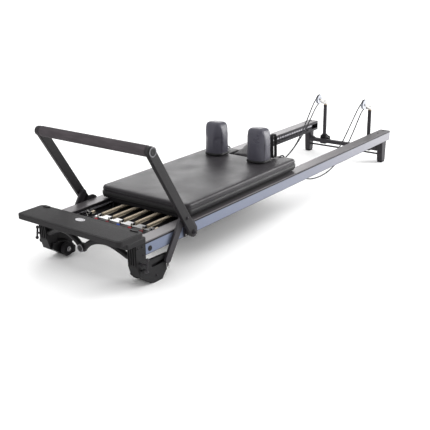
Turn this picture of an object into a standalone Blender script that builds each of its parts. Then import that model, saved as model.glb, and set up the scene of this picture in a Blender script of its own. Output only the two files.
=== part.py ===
"""Pilates reformer, modelled in metres with +Z up.

+X runs from the foot end to the head end, +Y is the user's left when lying on
the carriage, and the floor is z = 0. The origin is on the floor under the
middle of the machine's length and width.
"""

import math

import bmesh
import bpy
from mathutils import Matrix, Vector

# --- Driving dimensions -------------------------------------------------------

GAP = 0.0003                     # clearance between pieces that touch

RAIL_LENGTH = 2.42
RAIL_WIDTH = 0.071
RAIL_BOTTOM = 0.145
RAIL_TOP = 0.207
FRAME_HALF = 0.310               # outer face of a rail
TRACK_FLOOR = 0.160
TRACK_ROOF = 0.190
TRACK_DEPTH = 0.034

PLATFORM_OVERHANG = 0.170        # platform's front edge ahead of the rails
PLATFORM_TOP = 0.260
PLATFORM_THICK = 0.025
PLATFORM_HALF = 0.322
PLATFORM_DEPTH = 0.155

FRONT = -(RAIL_LENGTH - PLATFORM_OVERHANG) / 2     # rails' front ends
REAR = FRONT + RAIL_LENGTH
RAIL_INNER = FRAME_HALF - RAIL_WIDTH

CARRIAGE_FRONT = FRONT + 0.322
CARRIAGE_LENGTH = 0.954
CARRIAGE_HALF = 0.278
CARRIAGE_TOP = 0.270
BOARD_BOTTOM = 0.2125
BOARD_THICK = 0.012
CHEEK_INSET = 0.045              # cheeks start behind the carriage's front edge
WHEEL_RADIUS = 0.0140
WHEEL_WIDTH = 0.016
AXLE_RADIUS = 0.004

SPRING_BAR_X = FRONT + 0.166
SPRING_Z = 0.182
SPRING_RADIUS = 0.0135
SPRING_PITCH = 0.0725
SPRING_ANCHOR_X = FRONT + 0.640

ARM_INNER = 0.3262               # footbar arms, outside the rails
ARM_OUTER = 0.3465
ARM_HALF_WIDTH = 0.0235
CROSSBAR_RADIUS = 0.0190
SLEEVE_RADIUS = 0.0245
FOOTBAR_PIVOT = (FRONT + 0.287, 0.170)             # x, z
FOOTBAR_REACH = 0.504
FOOTBAR_ANGLE = math.radians(121)                  # arm's slope from +X
STRUT_JOINT = 0.092              # along the arm from the pivot
STRUT_LENGTH = 0.198
STRUT_ANGLE = math.radians(-124.25)
STRUT_PIN_RADIUS = 0.0065

HEADREST_HINGE = (FRONT + 1.165, 0.2330)           # x, z
HEADREST_ANGLE = math.radians(14)
HEADREST_LENGTH = 0.192
HEADREST_HALF = 0.079
NOTCH_HALF = 0.104

REST_X = FRONT + 1.109           # middle of the shoulder rests
REST_Y = 0.142

LEG_X = FRONT + 2.370
LEG_Y = 0.277
LEG_HALF = 0.019
RISER_X = FRONT + 2.392
RISER_Y = 0.168
RISER_RADIUS = 0.0125
RISER_TOP = 0.335
PULLEY_Z = 0.386
PULLEY_RADIUS = 0.026

SIDES = (("left", 1), ("right", -1))


# --- Scene and materials ------------------------------------------------------

def clear_scene():
    for obj in list(bpy.data.objects):
        bpy.data.objects.remove(obj, do_unlink=True)


def collection(name):
    made = bpy.data.collections.new(name)
    bpy.context.scene.collection.children.link(made)
    return made


def material(name, colour, roughness, metallic=0.0):
    made = bpy.data.materials.new(name)
    made.use_nodes = True
    shader = made.node_tree.nodes["Principled BSDF"]
    shader.inputs["Base Color"].default_value = (*colour, 1.0)
    shader.inputs["Roughness"].default_value = roughness
    shader.inputs["Metallic"].default_value = metallic
    return made


clear_scene()
PART = collection("pilates_reformer")
TOOLS = collection("boolean_tools")

FINISH = {
    "rail": ((0.30, 0.33, 0.42), 0.35, 0.8),
    "black_plastic": ((0.025, 0.025, 0.028), 0.5, 0.0),
    "black_steel": ((0.045, 0.043, 0.048), 0.42, 0.2),
    "vinyl": ((0.10, 0.095, 0.105), 0.45, 0.0),
    "foam": ((0.07, 0.065, 0.07), 0.8, 0.0),
    "rubber": ((0.02, 0.02, 0.02), 0.8, 0.0),
    "chrome": ((0.75, 0.74, 0.72), 0.18, 1.0),
    "clear_plastic": ((0.75, 0.77, 0.80), 0.2, 0.0),
    "rope": ((0.03, 0.03, 0.035), 0.85, 0.0),
    "board": ((0.05, 0.045, 0.045), 0.6, 0.0),
}
MATERIALS = {name: material(name, *values) for name, values in FINISH.items()}


# --- Shape helpers ------------------------------------------------------------

def place(name, mesh, finish, tool=False):
    """Wrap a mesh in an object, in the part or among the Boolean tools."""
    obj = bpy.data.objects.new(name, mesh)
    (TOOLS if tool else PART).objects.link(obj)
    mesh.materials.append(MATERIALS[finish])
    if tool:
        obj.hide_render = True
        obj.display_type = "WIRE"
    return obj


def from_bmesh(name, bm, finish, tool=False):
    bmesh.ops.recalc_face_normals(bm, faces=bm.faces)
    mesh = bpy.data.meshes.new(name)
    bm.to_mesh(mesh)
    bm.free()
    return place(name, mesh, finish, tool)


def bevel(obj, width, segments=2, angle=30):
    mod = obj.modifiers.new("edges", "BEVEL")
    mod.width = width
    mod.segments = segments
    mod.limit_method = "ANGLE"
    mod.angle_limit = math.radians(angle)
    return obj


def combine(target, tool, operation):
    """Add or cut a tool, in place, in the target's modifier stack."""
    mod = target.modifiers.new(tool.name, "BOOLEAN")
    mod.object = tool
    mod.operation = operation
    mod.solver = "EXACT"
    return target


def join(target, *tools):
    for tool in tools:
        combine(target, tool, "UNION")
    return target


def cut(target, *tools):
    for tool in tools:
        combine(target, tool, "DIFFERENCE")
    return target


def block(name, low, high, finish="black_steel", round_=0.0, segments=2, tool=False):
    """A box between two opposite corners given in any order."""
    low, high = Vector(low), Vector(high)
    middle, size = (low + high) / 2, high - low
    bm = bmesh.new()
    bmesh.ops.create_cube(bm, size=1.0)
    bmesh.ops.scale(bm, vec=[abs(v) for v in size], verts=bm.verts)
    obj = from_bmesh(name, bm, finish, tool)
    obj.location = middle
    return bevel(obj, round_, segments) if round_ else obj


def extrusion(name, outline, axis, start, end, finish="black_steel", tool=False):
    """A closed outline pushed along an axis.

    The outline's points are (y, z) for axis X, (x, z) for Y and (x, y) for Z.
    """
    def point(a, b, along):
        return {"X": (along, a, b), "Y": (a, along, b), "Z": (a, b, along)}[axis]

    bm = bmesh.new()
    ring = [bm.verts.new(point(a, b, start)) for a, b in outline]
    face = bm.faces.new(ring)
    moved = bmesh.ops.extrude_face_region(bm, geom=[face])["geom"]
    step = Vector(point(0, 0, end - start))
    bmesh.ops.translate(bm, vec=step, verts=[v for v in moved if isinstance(v, bmesh.types.BMVert)])
    return from_bmesh(name, bm, finish, tool)


def arc(centre, radius, start, end, steps):
    """Points of an arc, with its angles in degrees."""
    turns = [math.radians(start + (end - start) * i / steps) for i in range(steps + 1)]
    return [(centre[0] + radius * math.cos(t), centre[1] + radius * math.sin(t)) for t in turns]


def rounded_rectangle(low, high, radius, steps=5):
    """Outline of a rectangle with round corners, counter-clockwise."""
    (x0, y0), (x1, y1) = low, high
    corners = (((x1 - radius, y0 + radius), -90), ((x1 - radius, y1 - radius), 0),
               ((x0 + radius, y1 - radius), 90), ((x0 + radius, y0 + radius), 180))
    return [p for centre, turn in corners for p in arc(centre, radius, turn, turn + 90, steps)]


def stadium(start, end, radius, steps=8):
    """Outline of a slot between two centres."""
    turn = math.degrees(math.atan2(end[1] - start[1], end[0] - start[0]))
    return (arc(end, radius, turn - 90, turn + 90, steps)
            + arc(start, radius, turn + 90, turn + 270, steps))


AXES = {"X": Matrix.Rotation(math.radians(90), 4, "Y"),
        "Y": Matrix.Rotation(math.radians(-90), 4, "X"),
        "Z": Matrix.Identity(4)}


def lathe(name, profile, centre, axis, finish, steps=28, tool=False):
    """A turned solid: (radius, height) points, closed into a loop if it has a bore."""
    bored = all(r > 0 for r, _ in profile)
    bm = bmesh.new()
    ring = [bm.verts.new((r, 0, h)) for r, h in profile]
    edges = [bm.edges.new(pair) for pair in zip(ring, ring[1:])]
    if bored:
        edges.append(bm.edges.new((ring[-1], ring[0])))
    bmesh.ops.spin(bm, geom=ring + edges, axis=(0, 0, 1), cent=(0, 0, 0),
                   angle=math.tau, steps=steps, use_merge=True)
    bmesh.ops.remove_doubles(bm, verts=bm.verts, dist=1e-6)
    obj = from_bmesh(name, bm, finish, tool)
    obj.matrix_world = Matrix.Translation(centre) @ AXES[axis]
    return obj


def rod(name, start, end, radius, finish="black_steel", steps=20, tool=False):
    """A plain cylinder between two points."""
    start, end = Vector(start), Vector(end)
    bm = bmesh.new()
    bmesh.ops.create_cone(bm, cap_ends=True, segments=steps, radius1=radius,
                          radius2=radius, depth=(end - start).length)
    obj = from_bmesh(name, bm, finish, tool)
    turn = (end - start).to_track_quat("Z", "Y").to_matrix().to_4x4()
    obj.matrix_world = Matrix.Translation((start + end) / 2) @ turn
    return obj


def sweep(name, points, radius, finish, sides=16, tool=False):
    """A round tube along a list of points, as a mesh with flat ends."""
    points = [Vector(p) for p in points]
    bm = bmesh.new()
    rings = []
    normal = None
    for i, here in enumerate(points):
        before, after = points[max(i - 1, 0)], points[min(i + 1, len(points) - 1)]
        ahead = (after - before).normalized()
        if normal is None:
            normal = ahead.orthogonal().normalized()
        normal = (normal - ahead * normal.dot(ahead)).normalized()
        side = ahead.cross(normal)
        spread = [(math.cos(math.tau * k / sides), math.sin(math.tau * k / sides))
                  for k in range(sides)]
        rings.append([bm.verts.new(here + radius * (c * normal + s * side)) for c, s in spread])
    for a, b in zip(rings, rings[1:]):
        for k in range(sides):
            bm.faces.new((a[k], a[(k + 1) % sides], b[(k + 1) % sides], b[k]))
    bm.faces.new(rings[0])
    bm.faces.new(rings[-1])
    return from_bmesh(name, bm, finish, tool)


def filleted(points, radius, steps=5):
    """A path with each inner corner replaced by a tangent arc."""
    points = [Vector(p) for p in points]
    path = [points[0]]
    for before, corner, after in zip(points, points[1:], points[2:]):
        inward, outward = (before - corner).normalized(), (after - corner).normalized()
        half = inward.angle(outward) / 2
        reach = radius / math.tan(half)
        centre = corner + (inward + outward).normalized() * radius / math.sin(half)
        first, last = corner + inward * reach - centre, corner + outward * reach - centre
        turn = first.angle(last)
        axis = first.cross(last).normalized()
        path += [centre + Matrix.Rotation(turn * i / steps, 3, axis) @ first
                 for i in range(steps + 1)]
    return path + [points[-1]]


def smooth(points, steps=6):
    """A Catmull-Rom curve through hand-set points."""
    points = [Vector(p) for p in points]
    ends = [2 * points[0] - points[1]] + points + [2 * points[-1] - points[-2]]
    path = []
    for a, b, c, d in zip(ends, ends[1:], ends[2:], ends[3:]):
        for i in range(steps):
            t = i / steps
            path.append(0.5 * (2 * b + (c - a) * t + (2 * a - 5 * b + 4 * c - d) * t ** 2
                               + (3 * b - a - 3 * c + d) * t ** 3))
    return path + [points[-1]]


def pivot(name, location, *children, turn=0.0):
    """An empty on a joint's Y axis that carries the moving pieces."""
    empty = bpy.data.objects.new(name, None)
    empty.empty_display_size = 0.05
    PART.objects.link(empty)
    empty.location = location
    bpy.context.view_layer.update()
    for child in children:
        world = child.matrix_world.copy()
        child.parent = empty
        child.matrix_parent_inverse = Matrix.Translation(location).inverted()
        child.matrix_world = world
    empty.rotation_euler.y = turn
    return empty


# --- Frame --------------------------------------------------------------------

def rails():
    """Hollow side rails with a wheel track inside and a groove outside."""
    outer, inner, edge = FRAME_HALF, RAIL_INNER, 0.0025
    for name, side in SIDES:
        outline = [
            (inner, RAIL_BOTTOM), (outer - edge, RAIL_BOTTOM), (outer, RAIL_BOTTOM + edge),
            (outer, 0.1970), (outer - 0.003, 0.1970), (outer - 0.003, 0.2030),
            (outer, 0.2030), (outer, RAIL_TOP - edge), (outer - edge, RAIL_TOP),
            (inner + edge, RAIL_TOP), (inner, RAIL_TOP - edge), (inner, TRACK_ROOF),
            (inner + TRACK_DEPTH, TRACK_ROOF), (inner + TRACK_DEPTH, TRACK_FLOOR),
            (inner, TRACK_FLOOR)]
        rail = extrusion("rail_" + name, [(side * y, z) for y, z in outline],
                         "X", FRONT, REAR - 0.004, "rail")
        hollow = block("hollow_" + name,
                       (FRONT - 0.01, side * (inner + TRACK_DEPTH + 0.004), RAIL_BOTTOM + 0.004),
                       (REAR + 0.01, side * (outer - 0.007), RAIL_TOP - 0.006), tool=True)
        cut(rail, hollow)
        stop = block("carriage_stop_" + name,
                     (CARRIAGE_FRONT + CHEEK_INSET - 0.018, side * 0.219, 0.148),
                     (CARRIAGE_FRONT + CHEEK_INSET - GAP, side * (inner + 0.002), 0.1585),
                     tool=True)
        lug = block("stop_lug_" + name,
                    (CARRIAGE_FRONT + CHEEK_INSET - 0.018, side * 0.219, 0.148),
                    (CARRIAGE_FRONT + CHEEK_INSET - GAP, side * 0.2300, 0.184), tool=True)
        join(rail, stop, lug)
        cap = block("rail_cap_" + name, (REAR - 0.004 + GAP, side * inner, RAIL_BOTTOM + 0.001),
                    (REAR, side * (outer - 0.001), RAIL_TOP - 0.001), "black_plastic", 0.001, 1)
        plug = block("cap_plug_" + name,
                     (REAR - 0.022, side * (inner + TRACK_DEPTH + 0.005), RAIL_BOTTOM + 0.005),
                     (REAR - 0.002, side * (outer - 0.008), RAIL_TOP - 0.007), tool=True)
        join(cap, plug)


def front_crossmember():
    """Box beam between the rails' front ends."""
    half = RAIL_INNER - GAP
    block("front_crossmember", (FRONT + 0.004, -half, 0.150), (FRONT + 0.046, half, 0.200),
          "black_steel", 0.003)


def rear_end():
    """Tapered legs with rubber feet, a gusseted cross beam and a thin tie bar."""
    for name, side in SIDES:
        leg = extrusion("rear_leg_" + name,
                        [(LEG_X - 0.024, 0.0085), (LEG_X + 0.024, 0.0085),
                         (LEG_X + 0.032, RAIL_BOTTOM - GAP), (LEG_X - 0.032, RAIL_BOTTOM - GAP)],
                        "Y", side * (LEG_Y - LEG_HALF), side * (LEG_Y + LEG_HALF), "black_steel")
        bevel(leg, 0.004)
        block("rear_foot_" + name, (LEG_X - 0.022, side * (LEG_Y - LEG_HALF + 0.002), 0.0),
              (LEG_X + 0.022, side * (LEG_Y + LEG_HALF - 0.002), 0.008), "rubber", 0.003)
    reach = LEG_Y - LEG_HALF - GAP
    beam = block("rear_crossmember", (LEG_X - 0.028, -reach, 0.076),
                 (LEG_X, reach, 0.100), "black_steel", 0.002)
    for name, side in SIDES:
        gusset = extrusion("gusset_" + name,
                           [(side * reach, 0.090), (side * reach, 0.140),
                            (side * (reach - 0.018), 0.110), (side * (reach - 0.05), 0.095)],
                           "X", LEG_X - 0.024, LEG_X - 0.004, tool=True)
        join(beam, gusset)
    rod("rear_tie_bar", (LEG_X - 0.004, -reach, 0.052), (LEG_X - 0.004, reach, 0.052), 0.006,
        "black_steel")


def foot_platform():
    """Standing platform ahead of the rails, with two raised plug caps."""
    x0 = FRONT - PLATFORM_OVERHANG
    outline = rounded_rectangle((x0, -PLATFORM_HALF), (x0 + PLATFORM_DEPTH, PLATFORM_HALF), 0.022)
    board = extrusion("foot_platform", outline, "Z", PLATFORM_TOP - PLATFORM_THICK,
                      PLATFORM_TOP, "black_steel")
    bevel(board, 0.003)
    for name, side in SIDES:
        x = FRONT - 0.030
        cap = extrusion("plug_cap_" + name, stadium((x, side * 0.262), (x, side * 0.290), 0.008),
                        "Z", PLATFORM_TOP - 0.005, PLATFORM_TOP + 0.004, tool=True)
        join(board, cap)


WHEEL_HUB = (FRONT + 0.030, 0.228, 0.042)
STRUT_SEAT_Z = 0.0854
LOCK_SCREW = (FRONT - 0.040, 0.120)                  # x, z


def storage_stand():
    """Uprights under the platform with shoes, transport wheels and swing arms."""
    for name, side in SIDES:
        head = block("stand_" + name, (FRONT - 0.118, side * 0.240, 0.2060),
                     (FRONT - 0.001, side * 0.316, PLATFORM_TOP - PLATFORM_THICK - GAP),
                     "black_plastic", 0.006)
        upright = extrusion("upright_" + name,
                            [(FRONT - 0.001, 0.050), (FRONT - 0.001, 0.215),
                             (FRONT - 0.060, 0.215), (FRONT - 0.060, 0.105),
                             (FRONT - 0.045, 0.055)],
                            "Y", side * 0.258, side * 0.3100, tool=True)
        plate = extrusion("guide_plate_" + name,
                          [(FRONT + 0.038, 0.0), (FRONT + 0.098, 0.0)]
                          + arc((FRONT + 0.136, STRUT_SEAT_Z), 0.026, -50, 80, 6)
                          + [(FRONT + 0.010, 0.116), (FRONT - 0.040, 0.132),
                             (FRONT - 0.046, 0.056)],
                          "Y", side * 0.296, side * 0.3108, tool=True)
        shoe = extrusion("shoe_" + name,
                         [(FRONT + 0.034, 0.0), (FRONT + 0.094, 0.0), (FRONT + 0.100, 0.030),
                          (FRONT + 0.070, 0.068), (FRONT - 0.034, 0.086),
                          (FRONT - 0.040, 0.056)],
                         "Y", side * 0.2470, side * 0.300, tool=True)
        axle = rod("stand_axle_" + name, (WHEEL_HUB[0], side * 0.252, WHEEL_HUB[2]),
                   (WHEEL_HUB[0], side * 0.214, WHEEL_HUB[2]), 0.005, tool=True)
        join(head, upright, plate, shoe, axle)
        slot = extrusion("strut_slot_" + name,
                         stadium((FRONT + 0.038, STRUT_SEAT_Z), (FRONT + 0.1285, STRUT_SEAT_Z),
                                 STRUT_PIN_RADIUS + 0.0014),
                         "Y", side * 0.2995, side * 0.32, tool=True)
        screw_hole = rod("screw_hole_" + name, (LOCK_SCREW[0], side * 0.296, LOCK_SCREW[1]),
                         (LOCK_SCREW[0], side * 0.320, LOCK_SCREW[1]), 0.0053, tool=True)
        cut(head, slot, screw_hole)
        lathe("transport_wheel_" + name,
              [(0.0053, -0.012), (0.012, -0.012), (0.014, -0.009), (0.026, -0.009),
               (0.031, -0.011), (0.034, -0.007), (0.034, 0.007), (0.031, 0.011),
               (0.026, 0.009), (0.014, 0.009), (0.012, 0.012), (0.0053, 0.012)],
              (WHEEL_HUB[0], side * WHEEL_HUB[1], WHEEL_HUB[2]), "Y", "rubber")
        lock_screw(name, side)
    bow()


def lock_screw(name, side):
    """T-handled screw in the stand's upright."""
    x, z = LOCK_SCREW
    stem = rod("lock_screw_" + name, (x, side * 0.2985, z), (x, side * 0.352, z), 0.005,
               "black_steel")
    lean = Vector((0.004, 0, 0.025))
    grip = Vector((x, side * 0.350, z))
    bar = rod("grip_" + name, grip - lean, grip + lean, 0.0045, tool=True)
    join(stem, bar)
    for end, shift in (("low", -lean), ("high", lean)):
        ball = lathe(f"grip_ball_{end}_{name}",
                     [(0.0085 * math.cos(t), 0.0085 * math.sin(t))
                      for t in (math.radians(a) for a in (-90, -60, -30, 0, 30, 60, 90))],
                     grip + shift, "Z", "black_plastic", 12, tool=True)
        join(stem, ball)


def bow():
    """Bent tube that ties the two uprights, with a round boss at its middle."""
    half = [(-0.045, 0.2440, 0.142), (-0.052, 0.202, 0.165), (-0.062, 0.149, 0.186),
            (-0.070, 0.094, 0.185), (-0.073, 0.045, 0.166)]
    x = FRONT - 0.073
    middle = smooth([(FRONT + dx, -y, z) for dx, y, z in half] + [(x, 0.0, 0.137)]
                    + [(FRONT + dx, y, z) for dx, y, z in reversed(half)], 4)
    path = [(FRONT - 0.045, -0.2577, 0.142)] + middle + [(FRONT - 0.045, 0.2577, 0.142)]
    tube = sweep("stand_bow", path, 0.0135, "black_plastic", 14)
    boss = lathe("bow_boss", [(0, -0.012), (0.018, -0.012), (0.020, -0.009), (0.020, 0.009),
                              (0.018, 0.012), (0, 0.012)], (x, 0, 0.137), "Y",
                 "black_plastic", 24, tool=True)
    join(tube, boss)


# --- Springs ------------------------------------------------------------------

SPRING_ROWS = [(i - 2) * SPRING_PITCH for i in range(5)]
HOOK_Z = SPRING_Z - 0.0075       # top of the bars that carry the pegs


def peg(name, x, y):
    return rod(name, (x, y, HOOK_Z - 0.006), (x, y, SPRING_Z + 0.009), 0.003, "chrome", 12,
               tool=True)


def spring_bar():
    """Flat bar whose ends sit in the rails' tracks, with a peg for each spring."""
    reach = RAIL_INNER + 0.022
    bar = block("spring_bar", (SPRING_BAR_X - 0.014, -reach, TRACK_FLOOR + 0.001),
                (SPRING_BAR_X + 0.008, reach, HOOK_Z), "black_steel", 0.0015, 1)
    for i, y in enumerate(SPRING_ROWS):
        join(bar, peg(f"bar_peg_{i + 1}", SPRING_BAR_X, y))


def springs():
    """Close-wound coils with an eye at each end, drawn as ribbed bodies."""
    start, end = SPRING_BAR_X, SPRING_ANCHOR_X
    low, high = start + 0.024, end - 0.024
    ribs = 15
    pitch = (high - low) / ribs
    profile = [(0, low), (SPRING_RADIUS - 0.002, low)]
    for i in range(ribs):
        profile += [(SPRING_RADIUS, low + (i + 0.5) * pitch),
                    (SPRING_RADIUS - 0.0015, low + (i + 1) * pitch)]
    profile += [(0, high)]
    for i, y in enumerate(SPRING_ROWS):
        coil = lathe(f"spring_{i + 1}", profile, (0, y, SPRING_Z), "X", "chrome", 12)
        neck = rod(f"spring_neck_{i + 1}", (start + 0.0062, y, SPRING_Z),
                   (end - 0.0062, y, SPRING_Z), 0.0018, "chrome", 8, tool=True)
        join(coil, neck)
        for label, x in (("front", start), ("rear", end)):
            eye = lathe(f"eye_{label}_{i + 1}",
                        [(0.0062 + 0.002 * math.cos(t), 0.002 * math.sin(t))
                         for t in (math.tau * k / 6 for k in range(6))],
                        (x, y, SPRING_Z), "Z", "chrome", 14, tool=True)
            join(coil, eye)


# --- Carriage -----------------------------------------------------------------

WHEEL_Z = TRACK_FLOOR + GAP + WHEEL_RADIUS
WHEEL_ROWS = (("front", CARRIAGE_FRONT + 0.085), ("rear", CARRIAGE_FRONT + 0.870))
REST_PINS = (REST_X - 0.022, REST_X + 0.022)
HOOK_POST = (REST_X + 0.094, 0.156)                # x, y of the hand loop's post
HOOK_TOP = 0.411


def carriage_frame():
    """Board with a front lip, on a chassis of cheeks, anchor bar and axles, and two posts."""
    x0, x1 = CARRIAGE_FRONT, CARRIAGE_FRONT + CARRIAGE_LENGTH
    board = block("carriage_frame", (x0 + 0.012, -CARRIAGE_HALF + 0.006, BOARD_BOTTOM),
                  (x1 - 0.010, CARRIAGE_HALF - 0.006, BOARD_BOTTOM + BOARD_THICK), "board")
    lip = block("front_lip", (x0 + 0.014, -0.230, SPRING_Z + SPRING_RADIUS + 0.0015),
                (x0 + 0.030, 0.230, BOARD_BOTTOM + 0.004), tool=True)
    join(board, lip)
    chassis = block("carriage_chassis", (SPRING_ANCHOR_X - 0.010, -0.226, TRACK_FLOOR + 0.001),
                    (SPRING_ANCHOR_X + 0.012, 0.226, HOOK_Z))
    for i, y in enumerate(SPRING_ROWS):
        join(chassis, peg(f"anchor_peg_{i + 1}", SPRING_ANCHOR_X, y))
    for name, side in SIDES:
        cheek = block("cheek_" + name, (x0 + CHEEK_INSET, side * 0.221, TRACK_FLOOR + 0.001),
                      (x1 - 0.035, side * 0.230, BOARD_BOTTOM - GAP), tool=True)
        cleat = block("rope_cleat_" + name, (x1 - 0.050, side * 0.118, 0.186),
                      (x1 - 0.014, side * 0.146, BOARD_BOTTOM + 0.004), tool=True)
        join(chassis, cheek)
        join(board, cleat)
        x, y = HOOK_POST
        path = filleted([(x, side * y, BOARD_BOTTOM), (x, side * y, HOOK_TOP - 0.004),
                         (x, side * 0.194, HOOK_TOP - 0.004)], 0.012, 4)
        sweep("hook_post_" + name, path, 0.004, "black_steel", 10)
        cut(board, rod("post_seat_" + name, (x, side * y, 0.2), (x, side * y, 0.3), 0.0044,
                       tool=True))
        for row, wheel_x in WHEEL_ROWS:
            axle = rod(f"axle_{row}_{name}", (wheel_x, side * 0.225, WHEEL_Z),
                       (wheel_x, side * 0.2640, WHEEL_Z), AXLE_RADIUS, tool=True, steps=14)
            join(chassis, axle)
            rim = WHEEL_RADIUS
            half = WHEEL_WIDTH / 2
            lathe(f"carriage_wheel_{row}_{name}",
                  [(AXLE_RADIUS + GAP, -half), (rim - 0.001, -half), (rim, -half + 0.001),
                   (rim, half - 0.001), (rim - 0.001, half), (AXLE_RADIUS + GAP, half)],
                  (wheel_x, side * 0.2545, WHEEL_Z), "Y", "black_plastic", 28)
        for i, pin_x in enumerate(REST_PINS):
            hole = rod(f"board_hole_{i}_{name}", (pin_x, side * REST_Y, BOARD_BOTTOM - 0.01),
                       (pin_x, side * REST_Y, BOARD_BOTTOM + 0.02), 0.0053, tool=True)
            cut(board, hole)


def carriage_pad():
    """Upholstered top with a notch for the headrest and holes for the posts."""
    x0, x1 = CARRIAGE_FRONT, CARRIAGE_FRONT + CARRIAGE_LENGTH
    bottom = BOARD_BOTTOM + BOARD_THICK + GAP
    outline = rounded_rectangle((x0, -CARRIAGE_HALF), (x1, CARRIAGE_HALF), 0.035, 6)
    pad = extrusion("carriage_pad", outline, "Z", bottom, CARRIAGE_TOP, "vinyl")
    bevel(pad, 0.008, 3)
    notch = block("headrest_notch", (HEADREST_HINGE[0] - 0.005, -NOTCH_HALF, 0.2),
                  (x1 + 0.02, NOTCH_HALF, 0.3), tool=True)
    cut(pad, notch)
    for name, side in SIDES:
        for i, pin_x in enumerate(REST_PINS):
            hole = rod(f"pad_hole_{i}_{name}", (pin_x, side * REST_Y, 0.2),
                       (pin_x, side * REST_Y, 0.3), 0.0056, tool=True)
            cut(pad, hole)
        x, y = HOOK_POST
        cut(pad, rod("post_hole_" + name, (x, side * y, 0.2), (x, side * y, 0.3), 0.0046,
                     tool=True))


def headrest():
    """Pad on a hinged board, raised to its middle notch."""
    x, z = HEADREST_HINGE
    rear = x + HEADREST_LENGTH
    board = extrusion("headrest_board",
                      arc((x, z), 0.003, 90, 270, 6) + [(rear - 0.012, z - 0.003),
                                                        (rear - 0.012, z + 0.003)],
                      "Y", -HEADREST_HALF + 0.006, HEADREST_HALF - 0.006, "board")
    low, high = z + 0.0033, CARRIAGE_TOP
    pad = extrusion("headrest_pad",
                    [(x + 0.006, low), (rear, low), (rear, high), (x + 0.020, high)],
                    "Y", -HEADREST_HALF, HEADREST_HALF, "vinyl")
    bevel(pad, 0.008, 3)
    corner = 0.045
    for name, way in SIDES:
        y = way * (HEADREST_HALF - corner)
        rounding = extrusion("headrest_corner_" + name,
                             [(rear + 0.02, y), (rear, y)]
                             + [(rear - corner + corner * math.cos(t),
                                 y + way * corner * math.sin(t))
                                for t in (math.radians(a) for a in (15, 30, 45, 60, 75))]
                             + [(rear - corner, way * HEADREST_HALF),
                                (rear - corner, way * (HEADREST_HALF + 0.02)),
                                (rear + 0.02, way * (HEADREST_HALF + 0.02))],
                             "Z", low - 0.02, high + 0.02, tool=True)
        cut(pad, rounding)
    pivot("headrest_hinge", (x, 0, z), board, pad, turn=-HEADREST_ANGLE)


def shoulder_rests():
    """Upholstered blocks on a base plate with two pins, and the hand loops."""
    bottom = CARRIAGE_TOP + 0.0005
    for name, side in SIDES:
        post = extrusion("rest_post_" + name,
                         rounded_rectangle((REST_X - 0.046, side * REST_Y - 0.046),
                                           (REST_X + 0.046, side * REST_Y + 0.046), 0.03, 4),
                         "Z", bottom, bottom + 0.008, "black_steel")
        for i, pin_x in enumerate(REST_PINS):
            pin = rod(f"rest_pin_{i}_{name}", (pin_x, side * REST_Y, BOARD_BOTTOM + 0.001),
                      (pin_x, side * REST_Y, bottom + 0.004), 0.005, tool=True, steps=16)
            join(post, pin)
        pad = extrusion("shoulder_rest_" + name,
                        rounded_rectangle((REST_X - 0.054, side * REST_Y - 0.055),
                                          (REST_X + 0.054, side * REST_Y + 0.055), 0.043, 5),
                        "Z", bottom + 0.008 + GAP, 0.467, "vinyl")
        bevel(pad, 0.024, 4)
        hand_loop(name, side)


def hand_loop(name, side):
    """Strap loop that hangs on the peg of its post."""
    x = HOOK_POST[0]
    outer, inner = 0.0195, 0.0150
    high, low = (x, HOOK_TOP - inner + GAP), (x + 0.003, 0.2965)
    loop = extrusion("hand_loop_" + name, stadium(low, high, outer), "Y",
                     side * 0.167, side * 0.187, "rope")
    hollow = extrusion("loop_hollow_" + name, stadium(low, high, inner), "Y",
                       side * 0.15, side * 0.22, tool=True)
    cut(loop, hollow)


# --- Footbar ------------------------------------------------------------------

def ahead(origin, angle, distance):
    return (origin[0] + distance * math.cos(angle), origin[1] + distance * math.sin(angle))


CROSSBAR = ahead(FOOTBAR_PIVOT, FOOTBAR_ANGLE, FOOTBAR_REACH)
STRUT_TOP = ahead(FOOTBAR_PIVOT, FOOTBAR_ANGLE, STRUT_JOINT)
STRUT_FOOT = ahead(STRUT_TOP, STRUT_ANGLE, STRUT_LENGTH)


def footbar():
    """Crossbar between two flat arms on pivots, with a foam sleeve and end caps."""
    (px, pz), (cx, cz) = FOOTBAR_PIVOT, CROSSBAR
    bar = rod("footbar_frame", (cx, -ARM_OUTER + 0.002, cz), (cx, ARM_OUTER - 0.002, cz),
              CROSSBAR_RADIUS, steps=24)
    for name, side in SIDES:
        arm = extrusion("footbar_arm_" + name, stadium((px, pz), (cx, cz), ARM_HALF_WIDTH),
                        "Y", side * ARM_INNER, side * ARM_OUTER, tool=True)
        bevel(arm, 0.003, 2)
        cap = rod("end_cap_" + name, (cx, side * (ARM_OUTER - 0.001), cz),
                  (cx, side * (ARM_OUTER + 0.006), cz), 0.0215, tool=True, steps=28)
        pin = rod("strut_pin_" + name, (STRUT_TOP[0], side * 0.3120, STRUT_TOP[1]),
                  (STRUT_TOP[0], side * (ARM_INNER + 0.005), STRUT_TOP[1]), 0.006, tool=True)
        join(bar, arm, cap, pin)
        bore = rod("pivot_bore_" + name, (px, side * 0.32, pz), (px, side * 0.37, pz), 0.0083,
                   tool=True)
        cut(bar, bore)
    half = ARM_INNER - GAP
    sleeve = lathe("footbar_sleeve",
                   [(CROSSBAR_RADIUS + GAP, -half), (SLEEVE_RADIUS - 0.002, -half),
                    (SLEEVE_RADIUS, -half + 0.003), (SLEEVE_RADIUS, half - 0.003),
                    (SLEEVE_RADIUS - 0.002, half), (CROSSBAR_RADIUS + GAP, half)],
                   (cx, 0, cz), "Y", "foam", 28)
    pivot("footbar_pivot", (px, 0, pz), bar, sleeve)


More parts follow.
